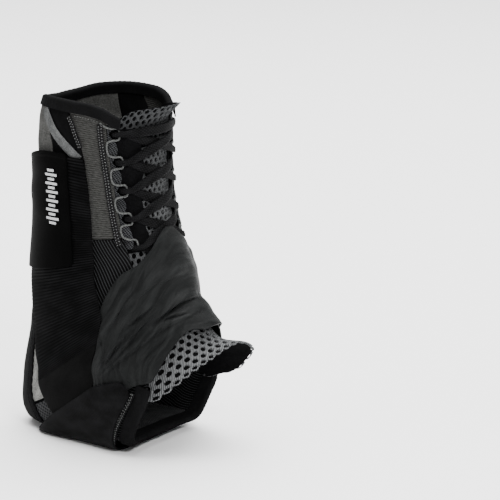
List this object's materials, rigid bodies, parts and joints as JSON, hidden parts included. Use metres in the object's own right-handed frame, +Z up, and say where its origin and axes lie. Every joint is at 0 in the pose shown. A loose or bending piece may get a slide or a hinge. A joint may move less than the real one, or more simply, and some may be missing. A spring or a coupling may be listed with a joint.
{
  "type": "ankle brace",
  "caption": "Lace-up ankle support with net sides, a pierced knit tongue, crossing straps that run under the heel and up to hook tabs, and bound edges.",
  "frame": {"origin": "on the floor, at the middle of the heel band's flat underside", "axes": "+X towards the toes, +Y towards the inner side of the foot, +Z up the leg"},
  "size_m": [0.151, 0.0887, 0.2178],
  "materials": {
    "tongue_knit": "soft pierced knit",
    "back_felt": "brushed",
    "net_black": "open net",
    "binding_black": "smooth woven",
    "band_twill": "fine twill",
    "lace_black": "braided",
    "rib_grey": "ribbed knit",
    "gore_black": "smooth knit",
    "strip_black": "woven",
    "tape_pale": "plush woven",
    "tape_grey": "twisted cord",
    "cord_pale": "twisted cord",
    "strap_nylon": "gathered nylon and ribbed elastic",
    "tab_black": "smooth laminate"
  },
  "bodies": {
    "root": {"tongue": "tongue_knit", "back_panel": "back_felt", "sole_panel": "net_black", "heel_tape": "binding_black", "heel_band": "band_twill", "top_binding": "binding_black", "front_binding": "binding_black", "lace": "lace_black", "side_panel_lateral": "rib_grey", "gore_lateral": "gore_black", "quarter_lateral": "net_black", "throat_strip_lateral": "strip_black", "slant_tape_lateral": "tape_pale", "seam_tape_lateral": "tape_grey", "front_tape_lateral": "tape_grey", "loop_cord_lateral": "cord_pale", "side_panel_medial": "rib_grey", "gore_medial": "gore_black", "quarter_medial": "net_black", "throat_strip_medial": "strip_black", "slant_tape_medial": "tape_pale", "seam_tape_medial": "tape_grey", "front_tape_medial": "tape_grey", "loop_cord_medial": "cord_pale", "strap_lateral": "strap_nylon", "strap_medial": "strap_nylon", "tab_lateral": "tab_black", "tab_medial": "tab_black"}
  },
  "joints": []
}
